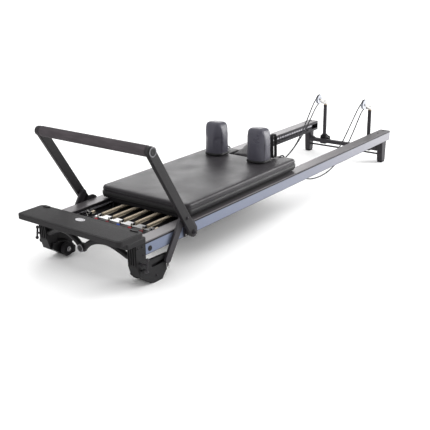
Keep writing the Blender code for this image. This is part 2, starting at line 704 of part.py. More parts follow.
def footbar_brackets():
    """Plates on the rails that carry the footbar's pivot pins."""
    px, pz = FOOTBAR_PIVOT
    face = FRAME_HALF + GAP
    for name, side in SIDES:
        plate = extrusion("footbar_bracket_" + name,
                          [(px - 0.034, 0.150), (px + 0.057, 0.150), (px + 0.057, 0.172)]
                          + [(px + 0.030, 0.216), (px + 0.012, 0.226), (px - 0.016, 0.226),
                             (px - 0.034, 0.196)],
                          "Y", side * face, side * (face + 0.0075), "black_steel")
        boss = rod("pivot_boss_" + name, (px, side * (face + 0.005), pz),
                   (px, side * (ARM_INNER - 0.0006), pz), 0.015, tool=True)
        pin = rod("pivot_pin_" + name, (px, side * (face + 0.005), pz),
                  (px, side * (ARM_OUTER + 0.002), pz), 0.008, tool=True)
        head = rod("pivot_head_" + name, (px, side * (ARM_OUTER + 0.0004), pz),
                   (px, side * (ARM_OUTER + 0.0045), pz), 0.013, tool=True)
        join(plate, boss, pin, head)


def footbar_struts():
    """Flat struts from the arms to the slots in the stand's guide plates."""
    for name, side in SIDES:
        strut = extrusion("footbar_strut_" + name, stadium(STRUT_FOOT, STRUT_TOP, 0.0180),
                          "Y", side * 0.3128, side * (ARM_INNER - 0.0012), "black_steel")
        pin = rod("foot_pin_" + name, (STRUT_FOOT[0], side * 0.3003, STRUT_FOOT[1]),
                  (STRUT_FOOT[0], side * 0.320, STRUT_FOOT[1]), STRUT_PIN_RADIUS, tool=True)
        bore = rod("strut_bore_" + name, (STRUT_TOP[0], side * 0.305, STRUT_TOP[1]),
                   (STRUT_TOP[0], side * 0.335, STRUT_TOP[1]), 0.0063, tool=True)
        join(strut, pin)
        cut(strut, bore)
        pivot("strut_pivot_" + name, (STRUT_TOP[0], side * 0.32, STRUT_TOP[1]), strut)


# --- Risers, pulleys and ropes ------------------------------------------------

PULLEY_X = RISER_X - 0.092
SOCKET_TOP = 0.118
KNOB_Z = 0.098


def risers():
    """Clamped posts that carry swivelling pulleys."""
    for name, side in SIDES:
        y = side * RISER_Y
        socket = block("riser_socket_" + name, (RISER_X - 0.0215, y - 0.022, 0.060),
                       (RISER_X + 0.0215, y + 0.022, SOCKET_TOP), "black_plastic", 0.003)
        well = rod("riser_well_" + name, (RISER_X, y, 0.05), (RISER_X, y, 0.13),
                   RISER_RADIUS + GAP, tool=True, steps=28)
        thread = rod("knob_hole_" + name, (RISER_X, side * 0.14, KNOB_Z),
                     (RISER_X, side * 0.1565, KNOB_Z), 0.0053, tool=True)
        cut(socket, well, thread)
        lathe("riser_" + name,
              [(0.0066, 0.060), (RISER_RADIUS, 0.060), (RISER_RADIUS, RISER_TOP - 0.001),
               (RISER_RADIUS - 0.001, RISER_TOP), (0.0066, RISER_TOP)],
              (RISER_X, y, 0), "Z", "black_steel", 28)
        knob = rod("riser_knob_" + name, (RISER_X, side * 0.1550, KNOB_Z),
                   (RISER_X, side * 0.1250, KNOB_Z), 0.005, "black_plastic")
        wing = Vector((0, side * 0.004, 0.020))
        grip = Vector((RISER_X, side * 0.1270, KNOB_Z))
        bar = rod("knob_bar_" + name, grip - wing, grip + wing, 0.0055, tool=True)
        join(knob, bar)
        pulley(name, side)


def pulley(name, side):
    """Swivel fork on the riser's top and the sheave in it."""
    y = side * RISER_Y
    stem = lathe("pulley_swivel_" + name,
                 [(0, 0.300), (0.006, 0.300), (0.006, RISER_TOP + GAP),
                  (0.011, RISER_TOP + GAP), (0.011, 0.352), (0.007, 0.360), (0, 0.360)],
                 (RISER_X, y, 0), "Z", "chrome", 20)
    root = block("fork_root_" + name, (RISER_X - 0.040, y - 0.0115, 0.346),
                 (RISER_X + 0.006, y + 0.0115, 0.362), tool=True)
    join(stem, root)
    for label, shift in (("inner", -0.0103), ("outer", 0.0103)):
        cheek = extrusion(f"fork_{label}_{name}",
                          stadium((RISER_X - 0.030, 0.356), (PULLEY_X, PULLEY_Z), 0.0075, 6),
                          "Y", y + shift - 0.0012, y + shift + 0.0012, tool=True)
        join(stem, cheek)
    axle = rod("sheave_axle_" + name, (PULLEY_X, y - 0.0105, PULLEY_Z),
               (PULLEY_X, y + 0.0105, PULLEY_Z), 0.003, tool=True, steps=12)
    join(stem, axle)
    rim, half = PULLEY_RADIUS + 0.004, 0.0075
    lathe("pulley_" + name,
          [(0.0033, -half), (rim, -half), (rim, -0.006), (PULLEY_RADIUS - 0.004, -0.001),
           (PULLEY_RADIUS - 0.004, 0.001), (rim, 0.006), (rim, half), (0.0033, half)],
          (PULLEY_X, y, PULLEY_Z), "Y", "clear_plastic", 28)


ROPE_RADIUS = 0.003


def rope_path(side):
    """From the carriage's cleat, under slack, round the pulley and back to the loop."""
    wrap = PULLEY_RADIUS + ROPE_RADIUS
    around = [(PULLEY_X + wrap * math.cos(t), PULLEY_Z + wrap * math.sin(t))
              for t in (math.radians(a) for a in range(140, -51, -19))]
    out = [(1.2650, 0.1320, 0.1960), (1.3400, 0.1330, 0.1720), (1.4700, 0.1360, 0.1180),
           (1.6200, 0.1400, 0.0780), (1.7800, 0.1450, 0.0700), (1.9200, 0.1500, 0.1080),
           (2.0300, 0.1550, 0.1750), (2.1300, 0.1600, 0.2720), (2.2200, 0.1650, 0.3650)]
    back = [(2.2600, 0.1690, 0.3330), (2.1700, 0.1710, 0.2420), (2.0700, 0.1740, 0.1560),
            (1.9400, 0.1780, 0.0820), (1.7900, 0.1810, 0.0460), (1.6200, 0.1840, 0.0540),
            (1.4800, 0.1860, 0.1040), (1.3700, 0.1870, 0.1850), (1.3100, 0.1870, 0.2500),
            (1.2800, 0.1870, 0.2765), (1.2450, 0.1870, 0.2758)]
    points = [(FRONT + x, side * y, z) for x, y, z in out]
    points += [(x, side * RISER_Y, z) for x, z in around]
    points += [(FRONT + x, side * y, z) for x, y, z in back]
    return smooth(points, 2)


def ropes():
    for name, side in SIDES:
        sweep("rope_" + name, rope_path(side), ROPE_RADIUS, "rope", 6)


def main():
    rails()
    front_crossmember()
    rear_end()
    foot_platform()
    storage_stand()
    spring_bar()
    springs()
    carriage_frame()
    carriage_pad()
    headrest()
    shoulder_rests()
    footbar()
    footbar_brackets()
    footbar_struts()
    risers()
    ropes()


main()
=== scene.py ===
import math

import bmesh
import bpy
from mathutils import Matrix, Vector, noise
from mathutils.bvhtree import BVHTree


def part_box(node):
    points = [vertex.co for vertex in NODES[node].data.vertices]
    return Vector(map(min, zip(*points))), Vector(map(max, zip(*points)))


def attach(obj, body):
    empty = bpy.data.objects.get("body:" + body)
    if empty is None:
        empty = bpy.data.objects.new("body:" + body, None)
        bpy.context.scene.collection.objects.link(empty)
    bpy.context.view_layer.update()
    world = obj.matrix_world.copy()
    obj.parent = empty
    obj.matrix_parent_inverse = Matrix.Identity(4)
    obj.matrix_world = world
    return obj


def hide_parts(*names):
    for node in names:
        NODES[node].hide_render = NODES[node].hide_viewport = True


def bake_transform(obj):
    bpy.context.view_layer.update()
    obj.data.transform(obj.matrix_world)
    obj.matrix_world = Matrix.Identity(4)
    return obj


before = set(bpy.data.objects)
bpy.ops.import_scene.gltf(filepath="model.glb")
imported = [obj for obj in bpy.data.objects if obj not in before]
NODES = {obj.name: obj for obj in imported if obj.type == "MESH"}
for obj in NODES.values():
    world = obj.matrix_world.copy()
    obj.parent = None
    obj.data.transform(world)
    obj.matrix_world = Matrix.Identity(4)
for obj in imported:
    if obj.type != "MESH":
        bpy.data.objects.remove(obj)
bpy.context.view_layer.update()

# Pilates reformer: materials, upholstery, springs, ropes and small fittings
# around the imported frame. +X runs to the head end, +Y is the user's left.

SIDES = (("left", 1), ("right", -1))
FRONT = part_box("rail_left")[0].x            # the rails' front ends
PEG_X = FRONT + 0.166                       # pegs of the spring bar
ANCHOR_X = FRONT + 0.640                    # pegs under the carriage
SPRING_Z = 0.182                            # springs' axis height
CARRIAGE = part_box("carriage_pad")
HINGE = Vector((0.040, 0.0, 0.233))         # headrest hinge
PIVOT = Vector((-0.838, 0.0, 0.170))        # footbar pivot
RISER_Y = 0.168                             # risers' distance from the middle
PULLEY = Vector((1.175, 0.0, 0.386))        # pulleys' axle
PULLEY_RADIUS = 0.026


# --- Materials ----------------------------------------------------------------

def srgb(*channels):
    """Linear colour of an 8-bit display colour."""
    return [(c / 255) ** 2.2 for c in channels]


class Look:
    """A node material, built with short calls."""

    def __init__(self, name, **sockets):
        self.made = bpy.data.materials.new(name)
        self.made.use_nodes = True
        self.tree = self.made.node_tree
        self.shader = self.tree.nodes["Principled BSDF"]
        for socket, value in sockets.items():
            self.set(self.shader, socket, value)
        self.place = self.add("TexCoord").outputs["Object"]

    def set(self, node, socket, value):
        socket = node.inputs[socket if isinstance(socket, int) else socket.replace("_", " ")]
        if isinstance(value, bpy.types.NodeSocket):
            self.tree.links.new(value, socket)
        else:
            if hasattr(socket.default_value, "__len__") and len(value) < len(socket.default_value):
                value = [*value, 1.0]
            socket.default_value = value

    def add(self, kind, props=None, **sockets):
        node = self.tree.nodes.new("ShaderNode" + kind)
        for name, value in (props or {}).items():
            setattr(node, name, value)
        for socket, value in sockets.items():
            self.set(node, socket, value)
        return node

    def math(self, operation, *values):
        node = self.add("Math", {"operation": operation})
        for i, value in enumerate(values):
            self.set(node, i, value)
        return node.outputs[0]

    def remap(self, value, low, high, to_low=0.0, to_high=1.0):
        return self.add("MapRange", Value=value, From_Min=low, From_Max=high,
                        To_Min=to_low, To_Max=to_high).outputs[0]

    def mix(self, share, first, second):
        node = self.add("Mix", {"data_type": "RGBA"})
        self.set(node, 0, share)
        self.set(node, 6, first)
        self.set(node, 7, second)
        return node.outputs[2]

    def noise(self, scale, detail=3.0, stretch=(1, 1, 1)):
        where = self.add("Mapping", Vector=self.place, Scale=stretch).outputs[0]
        return self.add("TexNoise", Vector=where, Scale=scale, Detail=detail).outputs[0]

    def cells(self, scale, feature="DISTANCE_TO_EDGE"):
        return self.add("TexVoronoi", {"feature": feature}, Vector=self.place,
                        Scale=scale).outputs["Distance"]

    def stripes(self, scale, axis, distortion=0.0):
        return self.add("TexWave", {"bands_direction": axis}, Vector=self.place, Scale=scale,
                        Distortion=distortion).outputs["Fac"]

    def relief(self, height, depth):
        bump = self.add("Bump", Height=height, Strength=1.0, Distance=depth)
        self.set(self.shader, "Normal", bump.outputs[0])

    def finish(self, colour, rough):
        self.set(self.shader, "Base Color", colour)
        self.set(self.shader, "Roughness", rough)
        return self.made


def worn(look, colour, amount, tone):
    """Lighter tone where edges are rubbed."""
    edge = look.add("NewGeometry").outputs["Pointiness"]
    return look.mix(look.remap(edge, 0.52, 0.60, 0.0, amount), colour, tone)


def mottled(look, tone, vary, patch):
    """A tone that drifts a little lighter and darker."""
    share = look.remap(look.noise(patch, 3.0), 0.3, 0.7)
    return look.mix(share, [c * (1 - vary) for c in tone], [c * (1 + vary) for c in tone])


def vinyl(name, tone, rough=0.42):
    """Upholstery vinyl: pebbled grain over slow changes of sheen."""
    look = Look(name, Specular_IOR_Level=0.28, Sheen_Weight=0.05, Sheen_Roughness=0.5)
    grain = look.remap(look.cells(620.0), 0.0, 0.30)
    pores = look.noise(2300.0, 2.0)
    look.relief(look.math("ADD", grain, look.math("MULTIPLY", pores, 0.4)), 0.00010)
    colour = mottled(look, tone, 0.10, 5.0)
    colour = look.mix(look.remap(grain, 0.0, 0.5, 0.25, 0.0), colour, [c * 0.5 for c in tone])
    soft = look.noise(7.0, 4.0)
    return look.finish(colour, look.remap(soft, 0.3, 0.7, rough - 0.05, rough + 0.07))


def coated(name, tone, rough=0.45, metal=0.0, spec=0.22, grain=900.0, depth=0.00006):
    """Powder coat or moulded plastic with a fine orange peel and rubbed edges."""
    look = Look(name, Metallic=metal, Specular_IOR_Level=spec)
    peel = look.noise(grain, 3.0)
    look.relief(peel, depth)
    colour = worn(look, mottled(look, tone, 0.12, 9.0), 0.5, [c * 1.9 + 0.01 for c in tone])
    return look.finish(colour, look.remap(peel, 0.35, 0.65, rough - 0.05, rough + 0.06))


def rail_metal():
    """Anodised extrusion: pale top, blue-grey outer band with a painted reflection that pales it
    towards the rear, and painted shade in the groove, on the inner face and track and along the
    bottom edge.
    """
    look = Look("rail_anodised", Metallic=0.55, Specular_IOR_Level=0.5)
    axes = look.add("SeparateXYZ", Vector=look.place).outputs
    across = look.math("ABSOLUTE", axes["Y"])
    streaks = look.noise(900.0, 3.0, (0.012, 1.0, 1.0))
    top = mottled(look, srgb(96, 93, 95), 0.06, 6.0)
    # painted reflection: the outer band turns paler and greyer from the front towards the rear
    along = look.remap(axes["X"], FRONT, 1.2)
    band = look.mix(along, srgb(108, 117, 138), srgb(130, 129, 134))
    # painted shade colour for the groove, the inner face and track, and the bottom edge
    painted_shade = srgb(34, 33, 37)
    outside = look.math("GREATER_THAN", across, 0.3065)
    low = look.math("LESS_THAN", axes["Z"], 0.1967)
    colour = look.mix(look.math("MULTIPLY", outside, low), top, band)
    # painted shade in the groove under the top lip
    groove_shade = look.math("MULTIPLY", look.math("GREATER_THAN", axes["Z"], 0.1967),
                      look.math("LESS_THAN", axes["Z"], 0.2032))
    colour = look.mix(look.math("MULTIPLY", outside, groove_shade), colour, painted_shade)
    # painted shade on the inner face and inside the track
    track_shade = look.math("MULTIPLY", look.math("LESS_THAN", across, 0.2745),
                       look.math("LESS_THAN", axes["Z"], 0.2045))
    colour = look.mix(track_shade, colour, painted_shade)
    # painted shade along the bottom edge
    foot = look.math("LESS_THAN", axes["Z"], 0.1485)
    colour = look.mix(foot, colour, painted_shade)
    colour = look.mix(look.remap(streaks, 0.3, 0.7, 0.0, 0.12), colour, srgb(90, 90, 96))
    look.relief(streaks, 0.00003)
    return look.finish(colour, look.remap(streaks, 0.3, 0.7, 0.34, 0.46))


def grip_mat(name, tone):
    """Non-slip sheet with a fine raised pimple."""
    look = Look(name, Specular_IOR_Level=0.3)
    pimple = look.remap(look.cells(420.0, "F1"), 0.0, 0.45, 1.0, 0.0)
    look.relief(pimple, 0.00016)
    colour = mottled(look, tone, 0.08, 14.0)
    colour = look.mix(look.remap(pimple, 0.2, 0.9, 0.0, 0.35), colour, [c * 1.5 for c in tone])
    return look.finish(colour, look.remap(pimple, 0.0, 1.0, 0.62, 0.5))


def foam(name, tone):
    """Closed-cell foam: tiny pits and a few scuffs along its length."""
    look = Look(name, Specular_IOR_Level=0.25)
    pits = look.cells(900.0, "F1")
    scuff = look.noise(60.0, 5.0, (1.0, 0.18, 1.0))
    look.relief(look.math("ADD", look.math("MULTIPLY", pits, -0.6), scuff), 0.00022)
    colour = look.mix(look.remap(scuff, 0.42, 0.62), [c * 0.86 for c in tone],
                      [c * 1.14 for c in tone])
    return look.finish(colour, look.remap(pits, 0.0, 0.5, 0.88, 0.72))


def plated(name, tone, rough=0.18):
    """Chrome plating with fine drawing marks."""
    look = Look(name, Metallic=1.0)
    marks = look.noise(1500.0, 2.0, (0.2, 1.0, 1.0))
    look.relief(marks, 0.00002)
    return look.finish(mottled(look, tone, 0.06, 40.0),
                       look.remap(marks, 0.3, 0.7, rough - 0.04, rough + 0.08))


def webbing(name, tone):
    """Woven strap: cross ribs and warp threads."""
    look = Look(name, Specular_IOR_Level=0.3, Sheen_Weight=0.3)
    ribs = look.stripes(210.0, "Z")
    warp = look.stripes(330.0, "Y")
    weave = look.math("MULTIPLY", look.math("ADD", ribs, warp), 0.5)
    look.relief(weave, 0.00030)
    colour = look.mix(look.remap(weave, 0.2, 0.8), [c * 0.6 for c in tone],
                      [c * 1.4 for c in tone])
    return look.finish(colour, look.remap(weave, 0.0, 1.0, 0.9, 0.7))


def braid(name, tone):
    """Braided cord: crossing strands with paler highlights."""
    look = Look(name, Specular_IOR_Level=0.3, Sheen_Weight=0.2)
    one = look.add("Mapping", Vector=look.place, Rotation=(0, 0.8, 0.5)).outputs[0]
    two = look.add("Mapping", Vector=look.place, Rotation=(0, -0.8, -0.5)).outputs[0]
    strands = [look.add("TexWave", Vector=where, Scale=170.0, Distortion=0.4).outputs["Fac"]
               for where in (one, two)]
    height = look.math("MAXIMUM", *strands)
    look.relief(height, 0.0005)
    colour = look.mix(look.remap(height, 0.4, 1.0), [c * 0.5 for c in tone],
                      [c * 1.6 for c in tone])
    return look.finish(colour, look.remap(height, 0.0, 1.0, 0.85, 0.65))


def clear_plastic(name):
    """Milky polycarbonate with faint moulding marks."""
    look = Look(name, Transmission_Weight=0.35, IOR=1.5, Specular_IOR_Level=0.5)
    swirl = look.noise(120.0, 3.0)
    look.relief(swirl, 0.00004)
    return look.finish(mottled(look, srgb(186, 189, 198), 0.08, 30.0),
                       look.remap(swirl, 0.3, 0.7, 0.18, 0.30))


VINYL = vinyl("vinyl_carriage", srgb(39, 36, 40), 0.44)
# darker copy of the vinyl: painted shade round the carriage cushion's lower side, and the rests'
# foot band, partly their black base and partly painted shade
VINYL_DARK = vinyl("vinyl_dark_and_shade", srgb(18, 17, 19), 0.5)
VINYL_REST = vinyl("vinyl_rest", srgb(72, 71, 80), 0.30)
PIPING = vinyl("vinyl_piping", srgb(30, 29, 32), 0.4)
BLACK = coated("moulded_black", srgb(21, 20, 22), 0.46)
STEEL = coated("powder_coat", srgb(42, 40, 43), 0.42, 0.1)
TUBE = coated("footbar_coat", srgb(27, 25, 27), 0.46, 0.0, 0.25, 520.0, 0.00012)
BOARD = coated("laminated_board", srgb(24, 23, 25), 0.6, 0.0, 0.15, 300.0)
RUBBER = coated("rubber_black", srgb(24, 23, 25), 0.7, 0.0, 0.15, 1400.0, 0.0001)
RAIL = rail_metal()
LINER = coated("track_liner_grey", srgb(168, 167, 172), 0.45, 0.2, 0.4)
SILVER = coated("satin_silver", srgb(172, 171, 174), 0.42, 0.3, 0.4)
GREY = coated("moulded_grey", srgb(104, 103, 106), 0.5)
MAT = grip_mat("platform_grip", srgb(26, 24, 26))
FOAM = foam("foam_sleeve", srgb(66, 61, 64))
CHROME = plated("chrome", srgb(168, 166, 164))
SPRING_WIRE = plated("spring_wire", srgb(176, 165, 147), 0.24)
BRASS = plated("brass", srgb(206, 168, 112), 0.3)
ROPE = braid("rope_braid", srgb(34, 34, 38))
STRAP = webbing("strap_webbing", srgb(30, 29, 32))
CLEAR = clear_plastic("pulley_clear")
RED = coated("tag_red", srgb(140, 30, 40), 0.4)
DARK_RED = coated("tag_dark_red", srgb(96, 28, 36), 0.4)
BLUE = coated("tag_blue", srgb(34, 62, 140), 0.4)


# --- Mesh helpers -------------------------------------------------------------

def shape(name, verts, faces, look, body=None, smooth=True):
    """A mesh object that rides on a body."""
    mesh = bpy.data.meshes.new(name)
    mesh.from_pydata([tuple(v) for v in verts], [], faces)
    mesh.validate()
    mesh.materials.append(look)
    for face in mesh.polygons:
        face.use_smooth = smooth
    obj = bpy.data.objects.new(name, mesh)
    bpy.context.scene.collection.objects.link(obj)
    if body:
        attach(obj, body)
    return obj


class Solids:
    """Vertices and faces of several closed forms that make one piece."""

    def __init__(self):
        self.verts, self.faces = [], []

    def take(self, verts, faces):
        start = len(self.verts)
        self.verts += verts
        self.faces += [[start + i for i in face] for face in faces]
        return self

    def tube(self, path, radius, sides=10, flat=1.0, across=None, closed=False):
        """A swept round or oval section; across sets the oval's wide direction."""
        path = [Vector(p) for p in path]
        verts, count, normal = [], len(path), None
        for i, here in enumerate(path):
            before = path[i - 1] if closed or i else here
            after = path[(i + 1) % count] if closed or i + 1 < count else here
            ahead = (after - before).normalized()
            normal = Vector(across) if across else (normal or ahead.orthogonal())
            normal = (normal - ahead * normal.dot(ahead)).normalized()
            side = ahead.cross(normal)
            size = radius[i] if isinstance(radius, list) else radius
            verts += [here + size * (math.cos(t) * normal + flat * math.sin(t) * side)
                      for t in (math.tau * k / sides for k in range(sides))]
        faces = [[i * sides + k, i * sides + (k + 1) % sides,
                  (i + 1) % count * sides + (k + 1) % sides, (i + 1) % count * sides + k]
                 for i in range(count if closed else count - 1) for k in range(sides)]
        if not closed:
            faces += [list(range(sides))[::-1], list(range((count - 1) * sides, count * sides))]
        return self.take(verts, faces)

    def turned(self, profile, centre, axis, steps=24):
        """A lathe form: (radius, height) points along an axis from a centre."""
        turn = Vector(axis).to_track_quat("Z", "Y").to_matrix()
        verts = [Vector(centre) + turn @ Vector((r * math.cos(t), r * math.sin(t), h))
                 for r, h in profile for t in (math.tau * k / steps for k in range(steps))]
        rows = len(profile)
        faces = [[i * steps + k, i * steps + (k + 1) % steps,
                  (i + 1) * steps + (k + 1) % steps, (i + 1) * steps + k]
                 for i in range(rows - 1) for k in range(steps)]
        faces += [list(range(steps))[::-1], list(range((rows - 1) * steps, rows * steps))]
        return self.take(verts, faces)

    def bolt(self, centre, axis, radius):
        """A washer under a domed head with a hexagon socket."""
        dome = [(1.45, 0.0), (1.45, 0.16), (1.38, 0.24), (1.02, 0.24), (1.0, 0.52),
                (0.88, 0.72), (0.62, 0.84), (0.50, 0.84), (0.47, 0.50), (0.02, 0.44)]
        return self.turned([(r * radius, h * radius) for r, h in dome], centre, axis, 18)

    def box(self, low, high, bevel=0.001):
        """A block with bevelled edges."""
        low, high = [Vector(map(pick, low, high)) for pick in (min, max)]
        bm = bmesh.new()
        bmesh.ops.create_cube(bm, size=1.0)
        bmesh.ops.scale(bm, vec=high - low, verts=bm.verts)
        bmesh.ops.bevel(bm, geom=bm.edges[:], offset=bevel, segments=2, affect="EDGES",
                        profile=0.5)
        bmesh.ops.translate(bm, vec=(low + high) / 2, verts=bm.verts)
        verts = [v.co.copy() for v in bm.verts]
        faces = [[v.index for v in face.verts] for face in bm.faces]
        bm.free()
        return self.take(verts, faces)

    def made(self, name, look, body=None, smooth=True):
        return shape(name, self.verts, self.faces, look, body, smooth)


def fitting(name, look, body, *calls):
    """One piece from (method, arguments...) calls."""
    solids = Solids()
    for method, *values in calls:
        getattr(solids, method)(*values)
    obj = solids.made(name, look, body)
    flat_edges(obj)
    return obj


def flat_edges(obj, angle=40):
    """Smooth shading that keeps real corners sharp."""
    bm = bmesh.new()
    bm.from_mesh(obj.data)
    for edge in bm.edges:
        if len(edge.link_faces) == 2 and edge.calc_face_angle(0) > math.radians(angle):
            edge.smooth = False
    bm.to_mesh(obj.data)
    bm.free()


def ring(centre, radius, axis, count=24, start=0.0, turn=math.tau):
    """Points of a circle round an axis."""
    frame_turn = Vector(axis).to_track_quat("Z", "Y").to_matrix()
    return [Vector(centre) + frame_turn @ Vector((radius * math.cos(t), radius * math.sin(t), 0))
            for t in (start + turn * k / count for k in range(count))]


def smooth(points, steps):
    """A Catmull-Rom curve through given points."""
    points = [Vector(p) for p in points]
    ends = [2 * points[0] - points[1]] + points + [2 * points[-1] - points[-2]]
    path = []
    for a, b, c, d in zip(ends, ends[1:], ends[2:], ends[3:]):
        path += [0.5 * (2 * b + (c - a) * t + (2 * a - 5 * b + 4 * c - d) * t ** 2
                        + (3 * b - a - 3 * c + d) * t ** 3)
                 for t in (i / steps for i in range(steps))]
    return path + [points[-1]]


def rounded(corners, steps=6):
    """A closed outline of (x, y, corner radius) points with each corner turned."""
    path = []
    for i, (x, y, radius) in enumerate(corners):
        here = Vector((x, y))
        to_last = (Vector(corners[i - 1][:2]) - here).normalized()
        to_next = (Vector(corners[(i + 1) % len(corners)][:2]) - here).normalized()
        middle = here + (to_last + to_next) * radius
        first, last = here + to_last * radius - middle, here + to_next * radius - middle
        swing = first.angle_signed(last)
        path += [middle + Matrix.Rotation(-swing * k / steps, 2) @ first
                 for k in range(steps + 1)]
    return path


def inset(outline, distance):
    """The outline moved inward; it runs counter-clockwise."""
    moved = []
    for i, here in enumerate(outline):
        into = (here - outline[i - 1]).normalized()
        out = (outline[(i + 1) % len(outline)] - here).normalized()
        normals = [Vector((-v.y, v.x)) for v in (into, out)]
        both = normals[0] + normals[1]
        moved.append(here + both * distance / max(0.3, 1 + normals[0].dot(normals[1])))
    return moved


def layered(name, outline, profile, look):
    """A closed form from (inset, height) layers of one outline."""
    count = len(outline)
    verts = [Vector((*point, z)) for step, z in profile for point in inset(outline, step)]
    faces = [[i * count + k, i * count + (k + 1) % count,
              (i + 1) * count + (k + 1) % count, (i + 1) * count + k]
             for i in range(len(profile) - 1) for k in range(count)]
    last = (len(profile) - 1) * count
    faces += [list(range(count))[::-1], list(range(last, last + count))]
    return shape(name, verts, faces, look)


def bake(obj):
    """Apply every modifier."""
    shown = obj.evaluated_get(bpy.context.evaluated_depsgraph_get())
    mesh = bpy.data.meshes.new_from_object(shown)
    obj.modifiers.clear()
    obj.data = mesh
    for face in mesh.polygons:
        face.use_smooth = True
    return obj


def inflate(obj, voxel, cap, pressure=4.0):
    """Even out a closed form and let cloth pressure crown it, within a cap."""
    remesh = obj.modifiers.new("even", "REMESH")
    remesh.mode = "VOXEL"
    remesh.voxel_size = voxel
    bake(obj)
    home = [v.co.copy() for v in obj.data.vertices]
    cloth = obj.modifiers.new("puff", "CLOTH")
    cloth.settings.use_pressure = True
    cloth.settings.uniform_pressure_force = pressure
    cloth.settings.effector_weights.gravity = 0.0
    for step in range(1, 21):
        bpy.context.scene.frame_set(step)
    bake(obj)
    bpy.context.scene.frame_set(1)
    for vertex, start in zip(obj.data.vertices, home):
        step = vertex.co - start
        if step.length > cap:
            vertex.co = start + step * (cap / step.length)
    even = obj.modifiers.new("soft", "SUBSURF")
    even.levels = even.render_levels = 1
    return bake(obj)


def on_surface(tree, points, lift):
    """Points dropped on the nearest surface and lifted off it."""
    placed = []
    for point in points:
        spot, normal, _, _ = tree.find_nearest(point)
        placed.append(spot + normal * lift)
    return placed


def surface_of(obj):
    return BVHTree.FromPolygons([v.co for v in obj.data.vertices],
                                [tuple(p.vertices) for p in obj.data.polygons])


def paint(look, *nodes):
    for node in nodes:
        NODES[node].data.materials.clear()
        NODES[node].data.materials.append(look)
        flat_edges_of_node(NODES[node])


def flat_edges_of_node(obj):
    """Smooth shading with an edge-split modifier: faces stay flat except on round parts."""
    for face in obj.data.polygons:
        face.use_smooth = True
    split = obj.modifiers.new("sharp", "EDGE_SPLIT")
    split.split_angle = math.radians(35)


# --- Camera -------------------------------------------------------------------

def camera():
    """Standing height, off the foot end's near corner."""
    yaw, pitch, roll = (math.radians(a) for a in (37.507, -19.781, -1.084))
    ahead = Vector((math.cos(pitch) * math.cos(yaw), math.cos(pitch) * math.sin(yaw),
                    math.sin(pitch)))
    right = ahead.cross(Vector((0, 0, 1))).normalized()
    up = right.cross(ahead)
    right, up = (math.cos(roll) * right + math.sin(roll) * up,
                 math.cos(roll) * up - math.sin(roll) * right)
    data = bpy.data.cameras.new("camera")
    data.sensor_width, data.lens = 36.0, 63.35
    obj = bpy.data.objects.new("camera", data)
    bpy.context.scene.collection.objects.link(obj)
    turn = Matrix((right, up, -ahead)).transposed().to_4x4()
    obj.matrix_world = Matrix.Translation((-3.3188, -2.3702, 1.4005)) @ turn
    bpy.context.scene.camera = obj


# --- Ropes --------------------------------------------------------------------

ROPE_OUT = [(0.1400, 0.1320, 0.1960), (0.2150, 0.1330, 0.1720), (0.3450, 0.1360, 0.1180),
            (0.4950, 0.1400, 0.0780), (0.6550, 0.1450, 0.0700), (0.7950, 0.1500, 0.1080),
            (0.9050, 0.1550, 0.1750), (1.0050, 0.1600, 0.2720), (1.0950, 0.1650, 0.3650)]
ROPE_BACK = [(1.1350, 0.1690, 0.3330), (1.0450, 0.1710, 0.2420), (0.9450, 0.1740, 0.1560),
             (0.8150, 0.1780, 0.0820), (0.6650, 0.1810, 0.0460), (0.4950, 0.1840, 0.0540),
             (0.3550, 0.1860, 0.1040), (0.2450, 0.1870, 0.1850), (0.1850, 0.1870, 0.2500),
             (0.1550, 0.1870, 0.2765), (0.1200, 0.1870, 0.2758)]
ROPE_RADIUS = 0.004


def rope(name, side):
    """One rope in stretches along one smoothed path over the pulley."""
    steps = 6
    wrap = PULLEY_RADIUS + ROPE_RADIUS
    around = [(PULLEY.x + wrap * math.cos(t), RISER_Y, PULLEY.z + wrap * math.sin(t))
              for t in (math.radians(a) for a in range(140, -51, -19))]
    points = [(x, side * y, z) for x, y, z in ROPE_OUT + around + ROPE_BACK]
    path = smooth(points, steps)
    last = len(points) - 1
    out_low, out_mid, back_mid, back_low = 4, 6, len(ROPE_OUT) + len(around) + 2, last - 6
    stretches = [("out_low", 0, out_low, ("carriage", "frame"), 0.16, 0.65),
                 ("out_mid", out_low, out_mid, ("frame", "riser_" + name), 0.67, 0.90),
                 ("pulley", out_mid, back_mid, ("riser_" + name, "pulley_swivel_" + name),
                  0.95, 1.13),
                 ("back_mid", back_mid, back_low, ("frame", "riser_" + name), 0.67, 0.90),
                 ("back_low", back_low, last, ("carriage", "frame"), 0.16, 0.65)]
    for label, first, end, bodies, x0, x1 in stretches:
        line = path[first * steps:end * steps + 1]
        obj = Solids().tube(line, ROPE_RADIUS, 10).made(f"rope_{name}_{label}", ROPE)
        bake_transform(obj)
        if label == "out_low":
            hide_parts("rope_" + name)


# --- Springs ------------------------------------------------------------------

